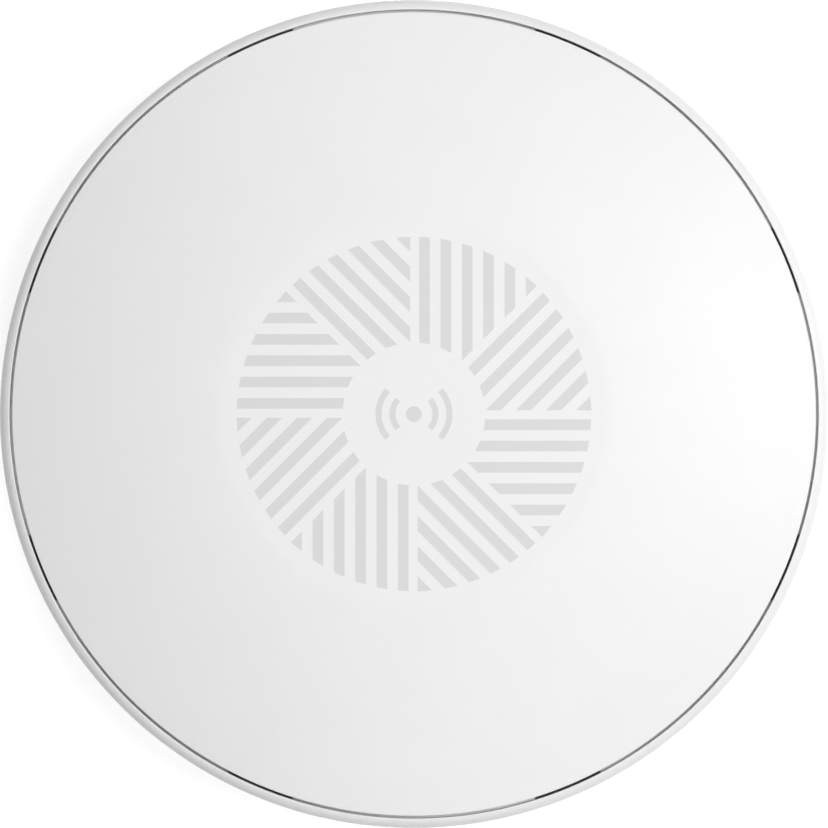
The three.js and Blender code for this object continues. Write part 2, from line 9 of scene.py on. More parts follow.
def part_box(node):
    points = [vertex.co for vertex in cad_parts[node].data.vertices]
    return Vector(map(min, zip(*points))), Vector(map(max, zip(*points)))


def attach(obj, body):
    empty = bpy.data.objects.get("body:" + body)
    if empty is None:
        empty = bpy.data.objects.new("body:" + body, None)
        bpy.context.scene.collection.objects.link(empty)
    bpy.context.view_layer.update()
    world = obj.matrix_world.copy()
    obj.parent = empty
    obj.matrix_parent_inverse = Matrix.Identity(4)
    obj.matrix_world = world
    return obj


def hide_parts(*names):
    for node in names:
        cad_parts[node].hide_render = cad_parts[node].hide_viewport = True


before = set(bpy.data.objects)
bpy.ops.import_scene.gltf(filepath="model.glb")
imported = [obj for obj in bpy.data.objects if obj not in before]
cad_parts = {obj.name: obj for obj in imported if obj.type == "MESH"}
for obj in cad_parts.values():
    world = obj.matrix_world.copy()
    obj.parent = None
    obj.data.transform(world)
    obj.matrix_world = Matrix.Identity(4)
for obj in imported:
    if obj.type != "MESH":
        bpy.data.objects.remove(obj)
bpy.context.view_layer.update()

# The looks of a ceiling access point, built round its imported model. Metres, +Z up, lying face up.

MM = 0.001

# ------ sizes that the pieces share

COVER_LOW, COVER_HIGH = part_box("front_cover")
HOUSING_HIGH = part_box("rear_housing")[1]
BRACKET_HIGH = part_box("mounting_bracket")[1]
BOARD_LOW, BOARD_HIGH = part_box("main_board")

ROUND_STEPS = 256  # facets round the large shells
SMALL_STEPS = 48  # facets round screws, pins and other small turned parts
HOLE_STEPS = 24  # facets round holes and leads
EDGE = 0.15 * MM  # rounding of a small moulded edge
WALL = 2 * MM
PAST = 1 * MM  # how far a cutting tool runs past what it cuts
TINY = 1e-7  # metres; anything shorter counts as nothing
WELD = 1e-6  # metres; corners of a CAD mesh that are nearer than this are one corner
FLAT_ANGLE = radians(1)  # facets of a CAD mesh that meet at less than this are one face
SHARP_ANGLE = radians(35)  # edges of a CAD mesh that are sharper than this get rounded
CREASE_ANGLE = radians(50)  # edges of a piece that are sharper than this aren't shaded smooth

RADIUS = HOUSING_HIGH.x
RIM_TOP = HOUSING_HIGH.z
RIM_FILLET = 2.4 * MM
GROOVE_INSET = 0.2 * MM  # the groove lies that much nearer the middle than in CAD
RIM_STEPS = 10
LIP_RADIUS = 87.95 * MM - GROOVE_INSET
LEDGE_Z = 24.7 * MM
LEDGE_RADIUS = 84.4 * MM
LEDGE_THICKNESS = 1.5 * MM
TRENCH_RADIUS = 87.2 * MM - GROOVE_INSET  # inner side of the trench that deepens the ledge under the groove
TRENCH_Z = 23.85 * MM
SIDE_RADIUS = 78.5 * MM
SIDE_TOP = 23 * MM
SIDE_STEPS = (28, 20)  # facets up the side wall, outside and inside
REAR_Z = 1.5 * MM
FLOOR_Z = 5.4 * MM
RECESS_RADIUS = 64 * MM

STUD_CIRCLE = 48 * MM
STUD_ANGLES = [radians(degrees) for degrees in (90, 210, 330)]
BAY_LOW = Vector((-17, -44, 5.4)) * MM
BAY_HIGH = Vector((17, -6, 18)) * MM
BAY_WALL = 1.6 * MM
SOCKET_WINDOW_LOW = Vector((-7.2, -7, 8.9)) * MM
SOCKET_WINDOW_HIGH = Vector((7.2, -3.9, 17.9)) * MM
BOSS_RADIUS = 3.4 * MM
BOSS_TOP = 20.9 * MM
RESET_GUIDE_RADIUS = 2.2 * MM
RESET_GUIDE_TOP = 15.4 * MM
RESET_HOLE_RADIUS = 1.1 * MM
RESET_HOLE_MOUTH = 1.8 * MM
SCREW_HOLE_RADIUS = 1.55 * MM
SCREW_HOLE_Z = 11 * MM

VENT_COUNT = 8
VENT_ANGLE = radians(10)
VENT_INNER_RADIUS = 85.2 * MM
VENT_CLEARANCE = (0.02 * MM, 0.05 * MM)  # how far the vents' cutters run past the lip and the ledge

COVER_RADIUS = COVER_HIGH.x - GROOVE_INSET
PRINT_THICKNESS = 0.02 * MM
TOP_Z = COVER_HIGH.z - PRINT_THICKNESS  # the cover's flat centre, just under the print on it
PLATEAU_RADIUS = 41.3 * MM
DOME_START = 43.5 * MM
DOME_SLOPES = (radians(3), radians(11.5))
BLEND_STEPS = 4
DOME_STEPS = 24
COVER_EDGE_Z = 25.2 * MM
COVER_EDGE_STRIP = 0.3 * MM  # left free of dome points for the rounding of the cover's edge
SKIRT_RADII = (82.2 * MM, 83.8 * MM)
SNAP_COUNT = 6
SNAP_REACH = 0.34 * MM
SNAP_HALF_WIDTH = 4 * MM
SNAP_Z = 22 * MM
SNAP_HEIGHT = 1 * MM

CABLE_HOLE_RADIUS = 24 * MM
HUB_WALL = 1.6 * MM
BRACKET_PLATE = 1.8 * MM
SCREW_PADS = [(41.75 * MM, 0), (-41.75 * MM, 0), (0, 30 * MM), (0, -30 * MM)]
PAD_RADIUS = 5 * MM
PAD_HOLE_RADIUS = 2.25 * MM
COUNTERSINK_RADIUS = 3.4 * MM
COUNTERSINK_DEPTH = 1.1 * MM
RIB_ANGLES = [radians(degrees) for degrees in (45, 75, 165, 195, 285, 315)]
RIB_HALF_THICKNESS = 0.7 * MM
RIB_Z = 0.8 * MM
KEYHOLE_TURN = radians(18)
KEYHOLE_SLOT_RADIUS = 2.6 * MM
KEYHOLE_ENTRY_RADIUS = 5 * MM

# ------ camera and lights

FOCAL_LENGTH = 200
SENSOR_WIDTH = 36


def placed(name, data):
    """A new object in the scene that shows the data."""
    made = bpy.data.objects.new(name, data)
    bpy.context.scene.collection.objects.link(made)
    return made


def make_camera():
    """Looks straight down on the front, with the rim filling the picture's width."""
    data = bpy.data.cameras.new("camera")
    data.lens = FOCAL_LENGTH
    data.sensor_width = SENSOR_WIDTH
    camera = placed("camera", data)
    rim_z = RIM_TOP - RIM_FILLET
    camera.location = (0, 0, rim_z + 2 * RADIUS * FOCAL_LENGTH / SENSOR_WIDTH)
    bpy.context.scene.camera = camera


# Softboxes round the object: compass angle from +X and tilt from straight up, in degrees, then the power
# in watts. The row on the right is the key light.
SOFTBOXES = {
    "right_high": (10, 10, 2.64),
    "right_middle": (10, 26, 5.53),
    "right_low": (10, 48, 5.4),
    "far": (100, 30, 2.58),
    "near": (280, 30, 3.18),
}
SOFTBOX_DISTANCE = 1.4
SOFTBOX_SIZE = 0.45
ROOM_GLOW = 0.15
# painted light: how strongly the floor glows under the object, which washes out the object's shadow
FLOOR_PAINTED_GLOW = 0.52
FLOOR_PAINTED_GLOW_FADES = (90 * MM, 320 * MM)  # distances from the middle over which the painted glow dies away
FLOOR_DROP = 0.1 * MM  # keeps the floor from touching the bracket's underside
FLOOR_REACH = 6
FLOOR_PAINTED_POOL_TONES = (0.85, 0.72)  # painted pool of light: the floor's tone under the object, which is lighter, and further off
NOISE_RANGE = (0.3, 0.7)  # holds nearly all the values of Blender's noise texture


def softbox(name, compass, tilt, power):
    """A square area light that faces the object's centre."""
    data = bpy.data.lights.new(name, "AREA")
    data.shape = "SQUARE"
    data.size = SOFTBOX_SIZE
    data.energy = power
    light = placed(name, data)
    sideways = Vector((cos(radians(compass)), sin(radians(compass)), 0))
    towards = sideways * sin(radians(tilt)) + Vector((0, 0, cos(radians(tilt))))
    light.location = towards * SOFTBOX_DISTANCE
    light.rotation_mode = "QUATERNION"
    light.rotation_quaternion = towards.to_track_quat("Z", "Y")


def make_lights():
    for name, placing in SOFTBOXES.items():
        softbox(name, *placing)
    world = bpy.data.worlds.new("studio")
    world.use_nodes = True
    background = world.node_tree.nodes["Background"]
    background.inputs["Color"].default_value = (1, 1, 1, 1)
    background.inputs["Strength"].default_value = ROOM_GLOW
    bpy.context.scene.world = world
    bpy.context.scene.view_settings.view_transform = "Standard"


# ------ materials


class Paint:
    """A Principled material with helpers that add procedural detail to it."""

    def __init__(self, name, color, roughness, metallic=0.0, **sockets):
        self.material = bpy.data.materials.new(name)
        self.material.use_nodes = True
        self.nodes = self.material.node_tree.nodes
        self.links = self.material.node_tree.links
        self.shader = self.nodes["Principled BSDF"]
        self.color = (*color, 1)
        self.roughness = roughness
        self.shader.inputs["Base Color"].default_value = self.color
        self.shader.inputs["Roughness"].default_value = roughness
        self.shader.inputs["Metallic"].default_value = metallic
        for socket, value in sockets.items():
            self.shader.inputs[socket].default_value = value
        self.coordinates = self.nodes.new("ShaderNodeTexCoord").outputs["Object"]

    def add(self, kind, **values):
        """A new node with those input values."""
        node = self.nodes.new(f"ShaderNode{kind}")
        for socket, value in values.items():
            node.inputs[socket].default_value = value
        return node

    def stretched(self, scale):
        """The piece's own coordinates, scaled unevenly, for grain that runs one way."""
        mapping = self.add("Mapping", Scale=scale)
        self.links.new(self.coordinates, mapping.inputs["Vector"])
        return mapping.outputs["Vector"]

    def noise(self, feature, detail=3.0, vector=None):
        """Noise whose features are about that many metres across."""
        texture = self.add("TexNoise", Scale=1 / feature, Detail=detail)
        self.links.new(vector or self.coordinates, texture.inputs["Vector"])
        return texture.outputs["Fac"]

    def map_range(self, value, start, end, low, high):
        """A node that takes values between start and end to values between low and high."""
        limits = {"From Min": start, "From Max": end, "To Min": low, "To Max": high}
        node = self.add("MapRange", **limits)
        self.links.new(value, node.inputs["Value"])
        return node

    def ranged(self, noise, low, high):
        """Noise stretched to run from low to high."""
        return self.map_range(noise, *NOISE_RANGE, low, high).outputs["Result"]

    def by_distance(self, near, far, value_near, value_far):
        """A value that changes smoothly between two distances from the piece's origin."""
        distance = self.add("VectorMath")
        distance.operation = "LENGTH"
        self.links.new(self.coordinates, distance.inputs[0])
        node = self.map_range(distance.outputs["Value"], near, far, value_near, value_far)
        node.interpolation_type = "SMOOTHSTEP"
        return node.outputs["Result"]

    def mottle(self, feature, amount):
        """Lightens and darkens the colour a little from place to place."""
        self.blend(self.ranged(self.noise(feature), 0, 1), [c * (1 - amount) for c in self.color[:3]])
        return self

    def blend(self, factor, other):
        """Mixes the colour so far with another one."""
        mix = self.add("Mix")
        mix.data_type = "RGBA"
        socket = self.shader.inputs["Base Color"]
        if socket.is_linked:
            self.links.new(socket.links[0].from_socket, mix.inputs["A"])
        else:
            mix.inputs["A"].default_value = self.color
        mix.inputs["B"].default_value = (*other, 1)
        self.links.new(factor, mix.inputs["Factor"])
        self.links.new(mix.outputs["Result"], socket)
        return self

    def lines(self, pitch, turn, patches, other, width=0.14, length=7):
        """Thin lines of another colour, here and there, as copper shows under solder mask. width and length
        are in pitches."""
        mapping = self.add("Mapping", Rotation=(0, 0, turn))
        self.links.new(self.coordinates, mapping.inputs["Vector"])
        rows = {"Mortar Size": width, "Brick Width": length, "Row Height": 1}
        brick = self.add("TexBrick", Scale=1 / pitch, **rows)
        self.links.new(mapping.outputs["Vector"], brick.inputs["Vector"])
        chosen = self.noise(patches, detail=0, vector=mapping.outputs["Vector"])
        where = self.add("Math")
        where.operation = "GREATER_THAN"
        where.inputs[1].default_value = 0.5
        self.links.new(chosen, where.inputs[0])
        both = self.add("Math")
        both.operation = "MULTIPLY"
        self.links.new(brick.outputs["Fac"], both.inputs[0])
        self.links.new(where.outputs["Value"], both.inputs[1])
        return self.blend(both.outputs["Value"], other)

    def vary_roughness(self, feature, spread, vector=None):
        noise = self.noise(feature, vector=vector)
        varied = self.ranged(noise, self.roughness - spread, self.roughness + spread)
        self.links.new(varied, self.shader.inputs["Roughness"])
        return self

    def bump(self, feature, depth, strength=1.0, vector=None):
        """Relief of that depth, in metres, on top of any relief so far."""
        node = self.add("Bump", Distance=depth, Strength=strength)
        self.links.new(self.noise(feature, detail=2.0, vector=vector), node.inputs["Height"])
        normal = self.shader.inputs["Normal"]
        if normal.is_linked:
            self.links.new(normal.links[0].from_socket, node.inputs["Normal"])
        self.links.new(node.outputs["Normal"], normal)
        return self


def moulded(name, color, roughness, grain=0.35 * MM, depth=0.004 * MM, spread=0.012):
    """Injection-moulded plastic: an even colour with the mould's fine spark grain."""
    paint = Paint(name, color, roughness)
    return paint.mottle(14 * MM, spread).vary_roughness(3 * MM, 0.03).bump(grain, depth)


def metal(name, color, roughness, grain=(1, 14, 14)):
    """Rolled or drawn metal, with its grain along one axis."""
    paint = Paint(name, color, roughness, metallic=1.0)
    along = paint.stretched(grain)
    paint.mottle(6 * MM, 0.06)
    return paint.vary_roughness(1.5 * MM, 0.05, vector=along).bump(1.2 * MM, 0.001 * MM, vector=along)


def solder_mask():
    """Green lacquer with copper tracks just showing through it, both ways across the board."""
    paint = Paint("board_solder_mask", (0.012, 0.1, 0.045), 0.32)
    paint.lines(0.9 * MM, 0, 16 * MM, (0.03, 0.19, 0.085))
    paint.lines(1.3 * MM, pi / 2, 23 * MM, (0.024, 0.165, 0.07))
    return paint.mottle(30 * MM, 0.15).vary_roughness(4 * MM, 0.05).bump(0.6 * MM, 0.004 * MM)


def sintered(name, color):
    """Pressed and fired ferrite: dark, dull and slightly pitted."""
    paint = Paint(name, color, 0.7)
    return paint.mottle(1.2 * MM, 0.35).vary_roughness(0.8 * MM, 0.12).bump(0.3 * MM, 0.03 * MM)


def wound_tape():
    """Amber polyester tape over a winding, with the turns showing as fine ridges."""
    paint = Paint("winding_tape", (0.62, 0.42, 0.06), 0.3, **{"Coat Weight": 0.3})
    turns = paint.stretched((1, 1, 12))
    return paint.mottle(4 * MM, 0.2).vary_roughness(2 * MM, 0.06).bump(2 * MM, 0.03 * MM, vector=turns)


def soft_pad():
    """Silicone gap filler, which is matt and a little lumpy."""
    paint = Paint("thermal_pad_silicone", (0.27, 0.38, 0.5), 0.85)
    return paint.mottle(2 * MM, 0.12).vary_roughness(1 * MM, 0.08).bump(0.8 * MM, 0.05 * MM)


def clear_moulding():
    """Water-clear acrylic with the faint haze of a moulded face."""
    clear = {"Transmission Weight": 1.0, "IOR": 1.49}
    paint = Paint("light_guide_acrylic", (0.94, 0.97, 0.98), 0.08, **clear)
    return paint.mottle(8 * MM, 0.03).vary_roughness(2 * MM, 0.04).bump(1.5 * MM, 0.006 * MM)


def phosphor():
    paint = Paint("led_phosphor", (0.9, 0.72, 0.16), 0.25, **{"Coat Weight": 0.8})
    return paint.mottle(0.4 * MM, 0.15).vary_roughness(0.5 * MM, 0.08).bump(0.3 * MM, 0.01 * MM)


def floor_paint_with_painted_glow():
    """A pale studio sweep with a painted pool of light: it glows under the object, which washes out the
    object's shadow, and is plain further off.
    """
    near, far = [(tone, tone, tone) for tone in FLOOR_PAINTED_POOL_TONES]
    paint = Paint("floor_paint_with_painted_glow", near, 0.7)
    paint.mottle(60 * MM, 0.01).bump(2 * MM, 0.02 * MM)
    # painted pool of light: the floor's colour is lighter under the object and darker further off
    paint.blend(paint.by_distance(*FLOOR_PAINTED_GLOW_FADES, 0, 1), far)
    # painted light: the floor glows under the object, and the glow dies away with distance
    painted_glow = paint.by_distance(*FLOOR_PAINTED_GLOW_FADES, FLOOR_PAINTED_GLOW, 0)
    paint.links.new(painted_glow, paint.shader.inputs["Emission Strength"])
    paint.shader.inputs["Emission Color"].default_value = (1, 1, 1, 1)
    return paint


PAINTS = {
    "cover": moulded("cover_plastic", (0.86, 0.86, 0.86), 0.42),
    "print": moulded("cover_print_ink", (0.7, 0.7, 0.7), 0.5, grain=0.2 * MM),
    "housing": moulded("housing_plastic", (0.84, 0.84, 0.84), 0.45),
    "bracket": moulded("bracket_plastic", (0.7, 0.705, 0.71), 0.55, grain=0.6 * MM, depth=0.012 * MM),
    "label": moulded("label_film", (0.76, 0.76, 0.74), 0.5, 0.15 * MM, 0.006 * MM, spread=0.03),
    "label_ink": moulded("label_ink", (0.12, 0.12, 0.125), 0.55, grain=0.1 * MM, spread=0.15),
    "board": solder_mask(),
    "chip": moulded("chip_epoxy", (0.016, 0.016, 0.018), 0.5, grain=0.12 * MM, spread=0.25),
    "ceramic": moulded("ceramic_body", (0.4, 0.25, 0.13), 0.45, grain=0.1 * MM, spread=0.3),
    "ferrite": sintered("ferrite", (0.04, 0.04, 0.044)),
    "tin": metal("tin_plate", (0.66, 0.67, 0.68), 0.3),
    "solder": metal("solder_tin", (0.7, 0.7, 0.71), 0.36, grain=(1, 1, 1)),
    "zinc": metal("zinc_plate", (0.56, 0.57, 0.6), 0.34, grain=(2, 2, 10)),
    "aluminium": metal("anodised_aluminium", (0.66, 0.67, 0.69), 0.42, grain=(12, 1, 12)),
    "gold": metal("gold_flash", (0.83, 0.62, 0.26), 0.26, grain=(10, 1, 10)),
    "black": moulded("black_plastic", (0.022, 0.022, 0.024), 0.5, grain=0.3 * MM, spread=0.2),
    "sleeve": moulded("capacitor_sleeve", (0.018, 0.024, 0.05), 0.35, grain=1.5 * MM, spread=0.2),
    "tape": wound_tape(),
    "pad": soft_pad(),
    "led": moulded("led_package", (0.82, 0.8, 0.72), 0.4, grain=0.15 * MM),
    "phosphor": phosphor(),
    "clear": clear_moulding(),
    "coax": moulded("coax_jacket", (0.05, 0.05, 0.055), 0.4, 0.5 * MM, 0.008 * MM, spread=0.2),
}

# ------ mesh helpers


def rounded(outline, steps=5):
    """The outline's corners (x, y, radius), with each corner rounded to its radius."""
    points = []
    for i, (x, y, radius) in enumerate(outline):
        corner = Vector((x, y))
        if not radius:
            points.append(corner)
            continue
        before = (Vector(outline[i - 1][:2]) - corner).normalized()
        after = (Vector(outline[(i + 1) % len(outline)][:2]) - corner).normalized()
        half = before.angle(after) / 2
        centre = corner + (before + after).normalized() * radius / sin(half)
        start = corner + before * radius / tan(half) - centre
        end = corner + after * radius / tan(half) - centre
        turn = -start.angle_signed(end)
        points += [centre + Matrix.Rotation(turn * k / steps, 2) @ start for k in range(steps + 1)]
    return points


def along(centre, reach, start, end, steps=16):
    """Points along an elliptical arc that reaches so far in X and in Y."""
    angles = [start + (end - start) * k / steps for k in range(steps + 1)]
    return [(centre[0] + reach[0] * cos(a), centre[1] + reach[1] * sin(a)) for a in angles]


def arc(centre, reach, start, end, steps):
    """Corners (x, y, 0) along an elliptical arc, for an outline."""
    return [(*point, 0) for point in along(centre, reach, start, end, steps)]


def turn_steps(count):
    """Evenly spaced angles once round."""
    return [2 * pi * k / count for k in range(count)]


def lathe(outline, steps=ROUND_STEPS, centre=(0, 0), closed=False):
    """A bmesh turned about the vertical line through centre. Points are (radius, height)."""
    bm = bmesh.new()
    rings = []
    for radius, z in outline:
        count = steps if radius > TINY else 1
        spokes = [(cos(a), sin(a)) for a in turn_steps(count)]
        points = [(centre[0] + radius * x, centre[1] + radius * y, z) for x, y in spokes]
        rings.append([bm.verts.new(point) for point in points])
    if closed:
        rings.append(rings[0])
    for lower, upper in zip(rings, rings[1:]):
        if len(lower) == len(upper) == 1:
            continue
        for k in range(steps):
            corners = [lower[k % len(lower)], lower[(k + 1) % len(lower)]]
            corners += [upper[(k + 1) % len(upper)], upper[k % len(upper)]]
            bm.faces.new(list(dict.fromkeys(corners)))
    bmesh.ops.recalc_face_normals(bm, faces=bm.faces)
    return bm


def prism(outline, low, high):
    """A bmesh of a flat outline of (x, y) points, from one height to another."""
    bm = bmesh.new()
    bottom = [bm.verts.new((x, y, low)) for x, y in outline]
    top = [bm.verts.new((x, y, high)) for x, y in outline]
    bm.faces.new(bottom[::-1])
    bm.faces.new(top)
    for k in range(len(outline)):
        after = (k + 1) % len(outline)
        bm.faces.new((bottom[k], bottom[after], top[after], top[k]))
    bmesh.ops.recalc_face_normals(bm, faces=bm.faces)
    return bm


def block(low, high, edge=0.0, corner=None, steps=6):
    """A box between two corners. corner rounds its upright edges, and edge its other ones."""
    corner = 2 * edge if corner is None else corner
    sides = [(low[0], low[1]), (high[0], low[1]), (high[0], high[1]), (low[0], high[1])]
    bm = prism(rounded([(x, y, corner) for x, y in sides], steps), low[2], high[2])
    if edge:
        level = [e for e in bm.edges if abs(e.verts[0].co.z - e.verts[1].co.z) < TINY]
        bmesh.ops.bevel(bm, geom=level, offset=edge, segments=steps // 2, affect="EDGES", profile=0.5)
    return bm


def rod(radius, low, high, centre=(0, 0), steps=SMALL_STEPS, bevel=0.0):
    """An upright cylinder."""
    outline = rounded([(0, low, 0), (radius, low, bevel), (radius, high, bevel), (0, high, 0)], steps=3)
    return lathe(outline, steps, centre)


def annulus(inner, outer, low, high, centre):
    outline = [(inner, low), (outer, low), (outer, high), (inner, high)]
    return lathe(outline, SMALL_STEPS, centre, closed=True)


def moved(bm, x, y):
    bmesh.ops.translate(bm, verts=bm.verts, vec=(x, y, 0))
    return bm


def tube(points, radius):
    """A round tube along points that all lie at one height."""
    bm = bmesh.new()
    up = Vector((0, 0, 1))
    rings = []
    for k, point in enumerate(points):
        ahead = points[min(k + 1, len(points) - 1)] - points[max(k - 1, 0)]
        side = ahead.cross(up).normalized()
        spokes = [cos(a) * side + sin(a) * up for a in turn_steps(HOLE_STEPS)]
        rings.append([bm.verts.new(point + radius * spoke) for spoke in spokes])
    for near, far in zip(rings, rings[1:]):
        for j in range(HOLE_STEPS):
            after = (j + 1) % HOLE_STEPS
            bm.faces.new((near[j], near[after], far[after], far[j]))
    bm.faces.new(rings[0])
    bm.faces.new(rings[-1])
    bmesh.ops.recalc_face_normals(bm, faces=bm.faces)
    return bm


def refined(node, edge):
    """A copy of a CAD node's mesh with its facets joined up and its sharp edges rounded."""
    bm = bmesh.new()
    bm.from_mesh(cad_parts[node].data)
    bmesh.ops.remove_doubles(bm, verts=bm.verts, dist=WELD)
    bmesh.ops.dissolve_limit(bm, angle_limit=FLAT_ANGLE, verts=bm.verts, edges=bm.edges)
    sharp = [e for e in bm.edges if e.is_manifold and e.calc_face_angle() > SHARP_ANGLE]
    bmesh.ops.bevel(bm, geom=sharp, offset=edge, segments=2, affect="EDGES", profile=0.5,
                    clamp_overlap=True)
    return bm


def merged(*parts):
    """One bmesh that holds all the given ones."""
    whole = bmesh.new()
    for part in parts:
        scratch = bpy.data.meshes.new("scratch")
        part.to_mesh(scratch)
        part.free()
        whole.from_mesh(scratch)
        bpy.data.meshes.remove(scratch)
    return whole


def turned(bm, angle):
    bmesh.ops.rotate(bm, verts=bm.verts, cent=(0, 0, 0), matrix=Matrix.Rotation(angle, 3, "Z"))
    return bm


def as_object(name, bm):
    mesh = bpy.data.meshes.new(name)
    bm.to_mesh(mesh)
    bm.free()
    return placed(name, mesh)


def combined(bm, operation, tool):
    """bm joined with or cut by tool. operation is UNION or DIFFERENCE."""
    target, other = as_object("scratch", bm), as_object("scratch", tool)
    modifier = target.modifiers.new("boolean", "BOOLEAN")
    modifier.solver = "EXACT"
    modifier.operation = operation
    modifier.object = other
    bpy.context.view_layer.update()
    evaluated = target.evaluated_get(bpy.context.evaluated_depsgraph_get())
    result = bmesh.new()
    result.from_mesh(evaluated.to_mesh())
    evaluated.to_mesh_clear()
    for scratch in (target, other):
        mesh = scratch.data
        bpy.data.objects.remove(scratch)
        bpy.data.meshes.remove(mesh)
    return result


def cut(bm, tool):
    return combined(bm, "DIFFERENCE", tool)


def joined(bm, other):
    return combined(bm, "UNION", other)


def middle(node):
    """The middle of a CAD node's box."""
    low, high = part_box(node)
    return (low + high) / 2


def piece(name, bm, paint, slot, *nodes, body="unit"):
    """Makes the piece, lets it ride on its body and stand for its CAD nodes."""
    bmesh.ops.dissolve_degenerate(bm, dist=TINY, edges=bm.edges)
    made = as_object(name, bm)
    made.data.materials.append(PAINTS[paint].material)
    made.data.shade_smooth()
    made.data.set_sharp_from_angle(angle=CREASE_ANGLE)
    made.modifiers.new("normals", "WEIGHTED_NORMAL").keep_sharp = True
    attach(made, body)
    if nodes:
        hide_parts(*nodes)
    return made


# ------ floor


def make_floor():
    bm = bmesh.new()
    bmesh.ops.create_grid(bm, x_segments=8, y_segments=8, size=FLOOR_REACH)
    floor = as_object("floor", bm)
    floor.data.materials.append(floor_paint_with_painted_glow().material)
    floor.location.z = -FLOOR_DROP


# ------ front cover


def cover_z(radius):
    """Height of the cover's face, which is flat in the middle and steepens steadily to the edge."""
    slope_in, slope_out = DOME_SLOPES
    blend_span, dome_span = DOME_START - PLATEAU_RADIUS, COVER_RADIUS - DOME_START
    blend = min(max(radius - PLATEAU_RADIUS, 0), blend_span)
    dome = max(radius - DOME_START, 0)
    blend_fall = slope_in * blend**2 / (2 * blend_span)
    return TOP_Z - blend_fall - slope_in * dome - (slope_out - slope_in) * dome**2 / (2 * dome_span)


def snap_hooks():
    """Wedges on the skirt, which catch under the housing's ledge."""
    skirt = SKIRT_RADII[1]
    root, tip = skirt - 0.4 * MM, skirt + SNAP_REACH
    ramp_top, top = SNAP_Z + 0.7 * SNAP_HEIGHT, SNAP_Z + SNAP_HEIGHT
    profile = [(root, SNAP_Z), (skirt, SNAP_Z), (tip, ramp_top), (tip, top), (root, top)]
    upright = Matrix.Rotation(pi / 2, 3, "X")
    hooks = []
    for angle in turn_steps(SNAP_COUNT):
        hook = prism(profile, -SNAP_HALF_WIDTH, SNAP_HALF_WIDTH)
        bmesh.ops.rotate(hook, verts=hook.verts, cent=(0, 0, 0), matrix=upright)
        hooks.append(turned(hook, angle))
    return merged(*hooks)


def make_cover():
    skirt_in, skirt_out = SKIRT_RADII
    blend_span = DOME_START - PLATEAU_RADIUS
    dome_span = COVER_RADIUS - COVER_EDGE_STRIP - DOME_START
    blend = [PLATEAU_RADIUS + blend_span * k / BLEND_STEPS for k in range(BLEND_STEPS + 1)]
    dome = [DOME_START + dome_span * k / DOME_STEPS for k in range(1, DOME_STEPS + 1)]
    inner_dome = [r for r in dome if r < skirt_in - 1 * MM]
    face = [(r, cover_z(r), 0) for r in blend + dome]
    inside = [(r, cover_z(r) - WALL, 0) for r in blend + inner_dome]
    edge_top = cover_z(COVER_RADIUS)
    outline = rounded([
        (0, TOP_Z - WALL, 0),
        *inside,
        (skirt_in, cover_z(skirt_in) - WALL, 0.5 * MM),
        (skirt_in, COVER_LOW.z, 0.3 * MM),
        (skirt_out, COVER_LOW.z, 0.5 * MM),
        (skirt_out, COVER_EDGE_Z, 0.3 * MM),
        (COVER_RADIUS, COVER_EDGE_Z, EDGE),
        (COVER_RADIUS, edge_top, 0.2 * MM),
        *face[::-1],
        (0, TOP_Z, 0),
    ])
    shell = joined(lathe(outline), snap_hooks())
    piece("front_cover_moulding", shell, "cover", "cover_plastic", "front_cover", body="cover")


# ------ print on the cover

PRINT_SECTORS = 8
PRINT_RADII = (15.4 * MM, 38.2 * MM)
BAR_WIDTH = 2.3 * MM
BAR_PITCH = 4.6 * MM
BAR_END_STEPS = 8
DOT_RADIUS = 1.7 * MM
WAVE_RADII = (4 * MM, 7 * MM)
WAVE_WIDTH = 1.3 * MM
WAVE_HALF_ANGLE = radians(42)


def printed(points):
    """A flat printed shape on the cover's centre, as a thin solid."""
    return prism(points, TOP_Z - PRINT_THICKNESS, TOP_Z + PRINT_THICKNESS)


def hatch_bar(offset):
    """Points round one bar of a sector whose bars lie along +X, below its upper edge."""
    inner, outer = PRINT_RADII
    starts, ends = [], []
    for k in range(BAR_END_STEPS + 1):
        across = offset + BAR_WIDTH * k / BAR_END_STEPS
        past_hole = sqrt(max(inner**2 - across**2, 0))
        past_edge = across / tan(2 * pi / PRINT_SECTORS) + BAR_WIDTH / 2
        starts.append((max(past_hole, past_edge), -across))
        ends.append((sqrt(outer**2 - across**2), -across))
    return starts + ends[::-1]


def make_hatch():
    """A ring of equal sectors, each filled with bars along its own leading edge."""
    sector = 2 * pi / PRINT_SECTORS
    count = int((PRINT_RADII[1] * sin(sector) - BAR_WIDTH) / BAR_PITCH) + 1
    bars = []
    for turns in range(1, PRINT_SECTORS + 1):
        for row in range(count):
            bar = printed(hatch_bar(row * BAR_PITCH + BAR_WIDTH / 2))
            bars.append(turned(bar, turns * sector))
    piece("cover_print_hatch", merged(*bars), "print", "cover_print", body="cover")


def ring_sector(inner, outer, start, end):
    """Points round a curved bar about the origin."""
    return along((0, 0), (outer, outer), start, end) + along((0, 0), (inner, inner), end, start)


def make_symbol():
    """A plain dot between two pairs of arcs."""
    dot = along((0, 0), (DOT_RADIUS, DOT_RADIUS), 0, 2 * pi, SMALL_STEPS)[:-1]
    marks = [printed(dot)]
    for facing in (0, pi):
        for radius in WAVE_RADII:
            start, end = facing - WAVE_HALF_ANGLE, facing + WAVE_HALF_ANGLE
            marks.append(printed(ring_sector(radius, radius + WAVE_WIDTH, start, end)))
    piece("cover_print_symbol", merged(*marks), "print", "cover_print", body="cover")


# ------ rear housing


